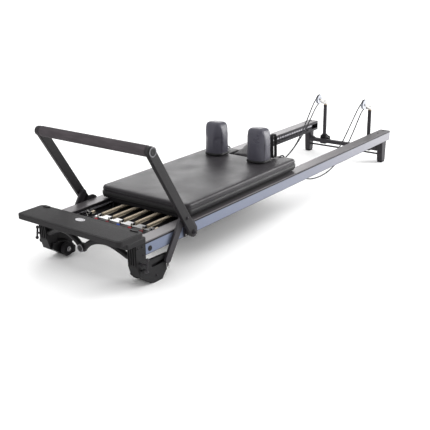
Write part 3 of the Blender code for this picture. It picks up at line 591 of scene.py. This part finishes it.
def springs():
    """Close-wound coils with an eye at each end and a coloured tag at the front."""
    wire, radius = 0.00125, 0.0090
    tags = (DARK_RED, RED, BLUE, DARK_RED, RED)
    for i, tag in enumerate(tags):
        y = (i - 2) * 0.0725
        start, end = PEG_X + 0.0235, ANCHOR_X - 0.0235
        turns = 156
        eyes = [[Vector((x, y, SPRING_Z)) + 0.0062 * Vector((way * math.cos(t), math.sin(t), 0))
                 for t in (math.tau * k / 14 for k in range(1, 15))]
                for x, way in ((PEG_X, 1), (ANCHOR_X, -1))]
        coil = []
        for k in range(turns * 14 + 1):
            t = k / (turns * 14)
            grow = min(1.0, t * turns / 1.5, (1 - t) * turns / 1.5)
            angle = math.tau * turns * t
            coil.append(Vector((start + (end - start) * t,
                                y + radius * grow * math.cos(angle),
                                SPRING_Z + radius * grow * math.sin(angle))))
        obj = Solids().tube(eyes[0] + coil + eyes[1][::-1], wire, 6).made(
            f"spring_coil_{i + 1}", SPRING_WIRE)
        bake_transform(obj)
        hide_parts(f"spring_{i + 1}")
        fitting(f"spring_collar_{i + 1}", BLACK, "frame",
                ("turned", [(0.0022, 0), (0.0055, 0.001), (0.0062, 0.004), (0.0062, 0.009),
                            (0.0050, 0.0115), (0.0022, 0.012)],
                 (PEG_X + 0.0095, y, SPRING_Z), (1, 0, 0), 18))
        fitting(f"spring_tag_{i + 1}", tag, "frame",
                ("box", (PEG_X - 0.0165, y - 0.009, 0.1640),
                 (PEG_X - 0.0140, y + 0.009, 0.1750), 0.0008),
                ("box", (PEG_X - 0.0160, y - 0.009, 0.1735),
                 (PEG_X - 0.0085, y + 0.009, 0.1765), 0.0008))


def spring_shade_tray():
    """Dark shallow pan under the springs, with turned-up sides and raised ribs: painted shade
    standing in for the shadow under and between the springs.
    """
    x0, x1, half, z = FRONT + 0.270, FRONT + 0.800, 0.2165, 0.1460
    pan = Solids().box((x0, -half, z), (x1, half, z + 0.0016), 0.0006)
    for _, side in SIDES:
        pan.box((x0, side * half, z), (x1, side * (half - 0.0016), z + 0.012), 0.0006)
    pan.box((x1 - 0.0016, -half, z), (x1, half, z + 0.008), 0.0006)
    for k in range(9):
        x = x0 + 0.05 + 0.052 * k
        pan.tube(smooth([(x, -0.17, z + 0.0018), (x, 0.0, z + 0.0022), (x, 0.17, z + 0.0018)], 6),
                 0.0022, 8)
    pan.made("spring_shade_tray", BOARD, "frame", False)


def spring_bar_ends():
    """Ring handles and clamp rollers at the ends of the spring bar."""
    for name, side in SIDES:
        y = side * 0.205
        fitting("bar_ring_" + name, CHROME, "frame",
                ("tube", ring((PEG_X - 0.010, y, 0.1915), 0.0105, (1, 0, 0), 24), 0.0021, 10,
                 1.0, None, True),
                ("turned", [(0.0015, 0), (0.0040, 0.0005), (0.0040, 0.006), (0.0015, 0.0065)],
                 (PEG_X - 0.010, y, 0.1745), (0, 0, 1), 14))
        fitting("bar_roller_" + name, SPRING_WIRE, "frame",
                ("turned", [(0.002, 0), (0.0075, 0.001), (0.0080, 0.003), (0.0080, 0.010),
                            (0.0070, 0.011), (0.0070, 0.014), (0.0080, 0.015),
                            (0.0080, 0.024), (0.0072, 0.026), (0.002, 0.027)],
                 (PEG_X + 0.010, y, 0.1835), (1, 0, 0), 20))
        fitting("bar_clamp_" + name, BLACK, "frame",
                ("box", (PEG_X - 0.010, y - 0.013, 0.1748), (PEG_X + 0.009, y + 0.013, 0.1800),
                 0.0012),
                ("box", (PEG_X - 0.004, y - 0.0125, 0.1790), (PEG_X + 0.0098, y + 0.0125, 0.1925),
                 0.0020))


# --- Upholstery ---------------------------------------------------------------

def carriage_cushion():
    """Crowned carriage top with a notch for the headrest and two lines of piping."""
    low, high = CARRIAGE
    x0, x1, half = low.x - 0.0030, high.x + 0.0020, high.y + 0.0030
    notch = 0.1045
    outline = rounded([(x0, -half, 0.034), (x1, -half, 0.026), (x1, -notch, 0.008),
                       (HINGE.x - 0.0045, -notch, 0.008), (HINGE.x - 0.0045, notch, 0.008),
                       (x1, notch, 0.008), (x1, half, 0.026), (x0, half, 0.034)])
    base, top = low.z, high.z + 0.0035
    profile = [(0.007, base), (0.002, base + 0.0015), (0.0, base + 0.006), (0.0, top - 0.012),
               (0.0008, top - 0.007), (0.0032, top - 0.0026), (0.0085, top - 0.0004)]
    pad = inflate(layered("carriage_cushion", outline, profile, VINYL), 0.006, 0.0022)
    for vertex in pad.data.vertices:
        point = vertex.co
        point.z = max(base, point.z)
        if point.z > top - 0.008:
            wave = noise.noise(Vector((point.x * 9, point.y * 9, 0)))
            point.z += 0.0005 * wave
    tree = surface_of(pad)
    # painted shade: a darker band of vinyl round the lower side of the cushion, below the lower
    # piping
    shaded_band = layered("carriage_shaded_band", inset(outline, -0.0022),
                    [(0.006, base), (0.001, base + 0.0008), (0.0, base + 0.003),
                     (0.0, base + 0.0185), (0.002, base + 0.0200)], VINYL_DARK)
    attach(shaded_band, "carriage")
    for label, height in (("top", top - 0.0145), ("low", base + 0.0205)):
        line = on_surface(tree, [Vector((*p, height)) for p in inset(outline, -0.004)], 0.0006)
        for point in line:
            point.z = height
        bead = Solids().tube(line, 0.0017, 8, 1.0, None, True).made(
            "carriage_piping_" + label, PIPING, "carriage")
    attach(pad, "carriage")
    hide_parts("carriage_pad")


def headrest_cushion():
    """Headrest pad, built flat and raised about its hinge like the board under it."""
    length, half = 0.192, 0.0780
    low, high = 0.0036, 0.0370
    outline = rounded([(0.009, -half, 0.008), (length - 0.003, -half, 0.042),
                       (length - 0.003, half, 0.042), (0.009, half, 0.008)])
    profile = [(0.005, low), (0.001, low + 0.002), (0.0, low + 0.007), (0.0, high - 0.013),
               (0.002, high - 0.007), (0.008, high - 0.0035)]
    pad = layered("headrest_cushion", outline, profile, VINYL)
    for vertex in pad.data.vertices:                      # the front face leans back
        if vertex.co.x < 0.03:
            vertex.co.x += 0.30 * (vertex.co.z - low)
    inflate(pad, 0.005, 0.0035)
    for vertex in pad.data.vertices:
        vertex.co.z = max(low, vertex.co.z)
    tree = surface_of(pad)
    height = (low + high) / 2
    line = on_surface(tree, [Vector((*p, height)) for p in inset(outline, -0.004)], 0.0006)
    bead = Solids().tube(line, 0.0015, 8, 1.0, None, True).made("headrest_piping", PIPING)
    turn = Matrix.Translation(HINGE) @ Matrix.Rotation(math.radians(-14), 4, "Y")
    for obj in (pad, bead):
        obj.data.transform(turn)
        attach(obj, "headrest")
    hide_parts("headrest_pad")


def shoulder_cushion(name):
    """Upright pad with a domed top that falls to the rear, gathers and side seams."""
    low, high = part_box("shoulder_rest_" + name)
    centre = (low + high) / 2
    reach_x, reach_y = (high.x - low.x) / 2 + 0.0015, (high.y - low.y) / 2 + 0.0015
    outline = rounded([(-reach_x, -reach_y, 0.036), (reach_x, -reach_y, 0.032),
                       (reach_x, reach_y, 0.032), (-reach_x, reach_y, 0.036)], 7)
    top = high.z + 0.0035
    profile = [(0.006, low.z), (0.001, low.z + 0.002), (0.0, low.z + 0.012),
               (0.0, low.z + 0.050), (0.0005, top - 0.080), (0.0020, top - 0.050),
               (0.0050, top - 0.028), (0.0100, top - 0.0135), (0.0180, top - 0.0050),
               (0.0290, top - 0.0008), (0.0380, top)]
    pad = layered("shoulder_cushion_" + name, outline, profile, VINYL_REST)
    for vertex in pad.data.vertices:
        share = max(0.0, (vertex.co.z - low.z) / (top - low.z) - 0.55) / 0.45
        vertex.co.z -= 0.010 * share * (vertex.co.x / reach_x * 0.5 + 0.5)
    inflate(pad, 0.005, 0.0035)
    for vertex in pad.data.vertices:
        point = vertex.co
        angle = math.atan2(point.y, point.x)
        height = (point.z - low.z) / (top - low.z)
        edge = max(0.0, 1 - abs(height - 0.93) / 0.12)
        out = Vector((point.x, point.y, 0)).normalized()
        point += out * 0.0009 * edge * math.sin(34 * angle)
        point.z = max(low.z, point.z)
    pad.data.transform(Matrix.Translation((centre.x, centre.y, 0)))
    tree = surface_of(pad)
    beads = Solids()
    for corner in (-1, 1):
        x, y = -reach_x * 0.62, corner * reach_y * 0.99
        line = [Vector((centre.x + x, centre.y + y * 1.3, low.z + 0.008 + 0.008 * k))
                for k in range(20)]
        beads.tube(on_surface(tree, line, 0.0001), 0.0009, 6)
    hem = [Vector((centre.x + p.x, centre.y + p.y, low.z + 0.013))
           for p in inset(outline, -0.004)]
    beads.tube(on_surface(tree, hem, 0.0002), 0.0014, 6, 1.0, None, True)
    # dark band round the foot of the rest: partly its own black base, partly painted shade where
    # it meets the carriage
    band = layered("shoulder_band_" + name, [p + centre.xy for p in inset(outline, -0.0022)],
                   [(0.005, low.z), (0.001, low.z + 0.001), (0.0, low.z + 0.003),
                    (0.0, low.z + 0.0120), (0.002, low.z + 0.0135)], VINYL_DARK)
    seams = beads.made("shoulder_seams_" + name, PIPING)
    for obj in (pad, band, seams):
        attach(obj, "shoulder_rest_" + name)
    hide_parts("shoulder_rest_" + name)


def hand_loop(name, side):
    """Padded webbing loop on its post, with stitched rows and a link to the rope."""
    x, y = 0.078, side * 0.177
    outer, high, low = 0.01725, 0.3963, 0.2965
    path = []
    for centre, start in (((x, high), 0.0), ((x + 0.003, low), math.pi)):
        path += [Vector((centre[0] + outer * math.cos(t), y, centre[1] + outer * math.sin(t)))
                 for t in (start + math.pi * k / 14 for k in range(15))]
    path = path[:15] + [path[14].lerp(path[15], k / 8) for k in range(1, 8)] + path[15:] + [
        path[29].lerp(path[0], k / 8) for k in range(1, 8)]
    ribbon = Solids().tube(path, 0.0098, 20, 0.23, (0, 1, 0), True)
    strap = ribbon.made("hand_strap_" + name, STRAP, "carriage")
    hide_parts("hand_loop_" + name)
    stitches = Solids()
    for row in (-0.0055, 0.0055):
        for a, b in zip(path, path[1:] + path[:1]):
            middle, along = (a + b) / 2, (b - a).normalized()
            out = along.cross(Vector((0, 1, 0)))
            for way in (-1, 1):
                spot = middle + Vector((0, row, 0)) + out * way * 0.00190
                stitches.tube([spot - along * 0.0013, spot + along * 0.0013], 0.0004, 5)
    stitches.made("hand_strap_stitches_" + name, ROPE, "carriage")
    link = fitting("hand_strap_link_" + name, CHROME, "carriage",
                   ("tube", ring((x + 0.0285, side * 0.187, 0.2765), 0.0080, (0, 1, 0.35), 22),
                    0.0014, 8, 1.0, None, True))


# --- Small fittings -----------------------------------------------------------

def rail_fittings():
    """Cover discs, track liners and screw caps of the rails."""
    for name, side in SIDES:
        face = side * 0.310
        out = (0, side, 0)
        fitting("rail_cover_" + name, BLACK, "frame",
                ("turned", [(0.0125, 0.0), (0.0125, 0.0012), (0.0112, 0.0020), (0.0090, 0.0020),
                            (0.0082, 0.0012), (0.0056, 0.0012), (0.0052, 0.0018),
                            (0.0003, 0.0018)], (FRONT + 0.027, face, 0.170), out, 24))
        liner = Solids()
        liner.box((FRONT + 0.060, side * 0.2727, 0.1640), (1.270, side * 0.2717, 0.1860), 0.0003)
        pads = int((1.25 - FRONT - 0.08) / 0.030)
        for k in range(pads):
            x = FRONT + 0.075 + 0.030 * k
            liner.box((x, side * 0.2720, 0.1680), (x + 0.019, side * 0.2662, 0.1830), 0.0010)
        liner.made("track_liner_" + name, LINER, "frame", False)
        caps = [("turned", [(0.0062, 0.0), (0.0062, 0.0006), (0.0050, 0.0014),
                            (0.0034, 0.0014), (0.0030, 0.0004), (0.0003, 0.0004)],
                 (x, side * 0.275, 0.207), (0, 0, 1), 20) for x in (1.262, 1.180)]
        fitting("rail_screws_" + name, BLACK, "frame", *caps)


def footbar_fittings():
    """Bolts of the pivot brackets and strut joints, and the tube's end rings."""
    strut = PIVOT + 0.092 * Vector((math.cos(math.radians(121)), 0, math.sin(math.radians(121))))
    bar = PIVOT + 0.504 * Vector((math.cos(math.radians(121)), 0, math.sin(math.radians(121))))
    for name, side in SIDES:
        out = (0, side, 0)
        fitting("bracket_bolts_" + name, CHROME, "frame",
                *[("bolt", (PIVOT.x + dx, side * 0.3179, z), out, 0.0040)
                  for dx, z in ((-0.024, 0.160), (0.046, 0.161), (0.000, 0.2165),
                                (-0.023, 0.193))])
        fitting("strut_bolt_" + name, STEEL, "footbar",
                ("bolt", (strut.x, side * 0.3466, strut.z), out, 0.0068))
        fitting("pivot_bolt_" + name, STEEL, "frame",
                ("bolt", (PIVOT.x, side * 0.3511, PIVOT.z), out, 0.0070))
        fitting("bar_end_ring_" + name, GREY, "footbar",
                ("turned", [(0.0214, 0.0), (0.0220, 0.0010), (0.0208, 0.0022),
                            (0.0176, 0.0022), (0.0168, 0.0010), (0.0160, 0.0004)],
                 (bar.x, side * 0.3520, bar.z), out, 32))
        fitting("bar_end_plug_" + name, BLACK, "footbar",
                ("turned", [(0.0166, 0.0), (0.0162, 0.0014), (0.0120, 0.0020),
                            (0.0060, 0.0016), (0.0003, 0.0012)],
                 (bar.x, side * 0.3522, bar.z), out, 28))
        foot = Vector((-0.9968, side * 0.3188, 0.0854))
        fitting("strut_prongs_" + name, CHROME, "footbar_strut_" + name,
                *[("tube", [foot + Vector((dx, dy, -0.012)), foot + Vector((dx, dy, -0.030)),
                            foot + Vector((dx, dy, -0.046))], [0.0019, 0.0019, 0.0012], 10)
                  for dx, dy in ((-0.008, 0.0), (0.006, 0.0))])


def stand_fittings():
    """Ribs, bolts and hub caps of the storage stand."""
    for name, side in SIDES:
        ribs = [("box", (FRONT - 0.0640, side * y, 0.112),
                 (FRONT - 0.0595, side * (y + 0.005), 0.204), 0.0012)
                for y in (0.261, 0.274, 0.287, 0.300)]
        fitting("stand_ribs_" + name, BLACK, "frame", *ribs)
        bolts = [("bolt", (FRONT + dx, side * 0.3109, z), (0, side, 0), 0.0045)
                 for dx, z in ((-0.026, 0.108), (0.006, 0.060), (0.060, 0.030))]
        bolts += [("bolt", (FRONT - dx, side * 0.3101, z), (0, side, 0), 0.0040)
                  for dx, z in ((0.020, 0.190), (0.048, 0.190), (0.016, 0.150))]
        fitting("stand_bolts_" + name, STEEL, "frame", *bolts)
        fitting("stand_knob_" + name, BLACK, "frame",
                ("turned", [(0.0040, 0.0), (0.0040, 0.010), (0.0115, 0.0115), (0.0130, 0.014),
                            (0.0130, 0.021), (0.0110, 0.024), (0.0003, 0.0245)],
                 (FRONT - 0.034, side * 0.3102, 0.086), (0, side, 0), 14))
        hub = Vector((FRONT + 0.030, side * 0.214, 0.042))
        fitting("wheel_hub_" + name, GREY, "transport_wheel_" + name,
                ("turned", [(0.0125, 0.0), (0.0125, 0.0008), (0.0110, 0.0018),
                            (0.0072, 0.0018), (0.0066, 0.0010), (0.0054, 0.0010)],
                 hub + Vector((0, side * 0.0022, 0)), (0, -side, 0), 26))
        fitting("wheel_nut_" + name, CHROME, "frame",
                ("bolt", hub, (0, -side, 0), 0.0032))
    boss = Vector((FRONT - 0.073, 0.0, 0.137))
    nose = boss + Vector((-0.0125, 0.0, 0.0))
    fitting("bow_nose", BLACK, "frame",
            ("turned", [(0.0130, 0.0), (0.0185, 0.0010), (0.0190, 0.0060), (0.0180, 0.0072),
                        (0.0003, 0.0074)], nose, (-1, 0, 0), 30))
    fitting("bow_nose_ring", GREY, "frame",
            ("turned", [(0.0182, 0.0), (0.0178, 0.0012), (0.0140, 0.0012), (0.0134, 0.0)],
             nose + Vector((-0.0068, 0, 0)), (-1, 0, 0), 30))
    for way in (-1, 1):
        fitting(f"bow_boss_cap_{'right' if way < 0 else 'left'}", STEEL, "frame",
                ("turned", [(0.0170, 0.0), (0.0165, 0.0012), (0.0125, 0.0016),
                            (0.0118, 0.0008), (0.0050, 0.0008), (0.0045, 0.0016),
                            (0.0003, 0.0016)], boss + Vector((0, way * 0.0121, 0)),
                 (0, way, 0), 28))


def platform_fittings():
    """Grip sheet with a round-cornered border, and a blank oval inlay."""
    low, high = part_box("foot_platform")
    top = 0.260
    margin, rear_margin = 0.007, 0.028
    outline = rounded([(low.x + margin, low.y + margin, 0.018),
                       (high.x - rear_margin, low.y + margin, 0.01),
                       (high.x - rear_margin, high.y - margin, 0.01),
                       (low.x + margin, high.y - margin, 0.018)])
    sheet = layered("platform_grip", outline,
                    [(0.0, top - 0.0005), (0.0, top + 0.0004), (0.0008, top + 0.0009),
                     (0.0030, top + 0.0010)], MAT)
    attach(sheet, "frame")
    centre = Vector((-1.191, 0.014, top + 0.0009))
    oval = Solids().turned([(1.0, 0.0), (0.98, 0.0010), (0.90, 0.0015), (0.86, 0.0011),
                            (0.5, 0.0013), (0.01, 0.0014)], (0, 0, 0), (0, 0, 1), 40)
    oval.verts = [centre + Vector((v.x * 0.0165, v.y * 0.0265, v.z)) for v in oval.verts]
    oval.made("platform_inlay", SILVER, "frame")


def riser_fittings():
    """Brass bushings under the swivels, clamp collars and pulley axle caps."""
    for name, side in SIDES:
        x, y = 1.267, side * RISER_Y
        fitting("riser_bushing_" + name, BRASS, "riser_" + name,
                ("turned", [(0.0070, 0.0), (0.0118, 0.0003), (0.0121, 0.0012),
                            (0.0121, 0.0030), (0.0112, 0.0040), (0.0070, 0.0042)],
                 (x, y, 0.3325), (0, 0, 1), 28))
        fitting("riser_collar_" + name, BLACK, "frame",
                ("turned", [(0.0129, 0.0), (0.0205, 0.0004), (0.0210, 0.0020),
                            (0.0200, 0.0060), (0.0165, 0.0085), (0.0129, 0.0090)],
                 (x, y, 0.118), (0, 0, 1), 28))
        for label, way in (("inner", -1), ("outer", 1)):
            fitting(f"pulley_cap_{label}_{name}", CHROME, "pulley_swivel_" + name,
                    ("bolt", (PULLEY.x, y + way * 0.0116, PULLEY.z), (0, way, 0), 0.0036))


def carriage_fittings():
    """Hinge plates and screws beside the headrest."""
    for name, side in SIDES:
        z, middle, half, corner = CARRIAGE[1].z, side * 0.133, 0.025, 0.008
        outline = rounded([(0.066, middle - half, corner), (0.094, middle - half, corner),
                           (0.094, middle + half, corner), (0.066, middle + half, corner)])
        plate = layered("post_plate_" + name, outline, [(0.0004, z - 0.0012), (0.0, z + 0.0010),
                                                        (0.0010, z + 0.0020)], CHROME)
        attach(plate, "carriage")
        fitting("post_plate_screw_" + name, BLACK, "carriage",
                ("bolt", (0.080, side * 0.122, z + 0.0020), (0, 0, 1), 0.0046))


# --- Light and floor ----------------------------------------------------------

def studio():
    """White surroundings, a soft overhead sun and low soft boxes behind and to the right."""
    world = bpy.data.worlds.new("studio")
    bpy.context.scene.world = world
    world.use_nodes = True
    back = world.node_tree.nodes["Background"]
    back.inputs["Color"].default_value = (1.0, 1.0, 1.0, 1.0)
    back.inputs["Strength"].default_value = 0.80
    aim = Vector((-0.2, 0.0, 0.2))
    for name, place, size, power in (("rear", (4.2, 3.8, 2.4), 3.4, 95.0),
                                     ("right", (3.4, -2.9, 1.1), 2.0, 185.0),
                                     ("front", (-3.0, 1.6, 2.6), 1.6, 22.0)):
        data = bpy.data.lights.new(name, "AREA")
        data.size, data.energy = size, power
        light = bpy.data.objects.new(name, data)
        bpy.context.scene.collection.objects.link(light)
        light.location = place
        light.rotation_euler = (aim - Vector(place)).to_track_quat("-Z", "Y").to_euler()
    data = bpy.data.lights.new("overhead", "SUN")
    data.energy, data.angle = 1.06, math.radians(80)
    bpy.context.scene.collection.objects.link(bpy.data.objects.new("overhead", data))
    look = Look("floor_paper", Specular_IOR_Level=0.1)
    tone = look.mix(look.noise(0.7, 2.0), [0.965] * 3, [0.98] * 3)
    paper = look.finish(tone, look.remap(look.noise(3.0), 0.0, 1.0, 0.85, 0.95))
    floor = shape("floor", [(-20, -20, 0), (20, -20, 0), (20, 20, 0), (-20, 20, 0)],
                  [[0, 1, 2, 3]], paper)
    bpy.context.scene.view_settings.view_transform = "Standard"


# --- Assembly -----------------------------------------------------------------

def both(*stems):
    return [f"{stem}_{name}" for stem in stems for name, _ in SIDES]


camera()
for side_name, side_way in SIDES:
    rope(side_name, side_way)

paint(RAIL, *both("rail"))
paint(BLACK, "stand_bow", *both("rail_cap", "stand", "riser_socket", "riser_knob",
                                "carriage_wheel_front", "carriage_wheel_rear"))
paint(STEEL, "front_crossmember", "rear_crossmember", "rear_tie_bar", "spring_bar",
      "carriage_chassis", *both("hook_post", "rear_leg", "lock_screw", "rest_post",
                                "footbar_bracket", "footbar_strut", "riser"))
paint(TUBE, "footbar_frame")
paint(BOARD, "carriage_frame", "headrest_board")
paint(MAT, "foot_platform")
paint(FOAM, "footbar_sleeve")
paint(RUBBER, *both("rear_foot", "transport_wheel"))
paint(CHROME, *both("pulley_swivel"))
paint(CLEAR, *both("pulley"))

springs()
# dark pan under the springs as painted shade
spring_shade_tray()
spring_bar_ends()
carriage_cushion()
headrest_cushion()
for side_name, side_way in SIDES:
    shoulder_cushion(side_name)
    hand_loop(side_name, side_way)
rail_fittings()
footbar_fittings()
stand_fittings()
platform_fittings()
riser_fittings()
carriage_fittings()
studio()
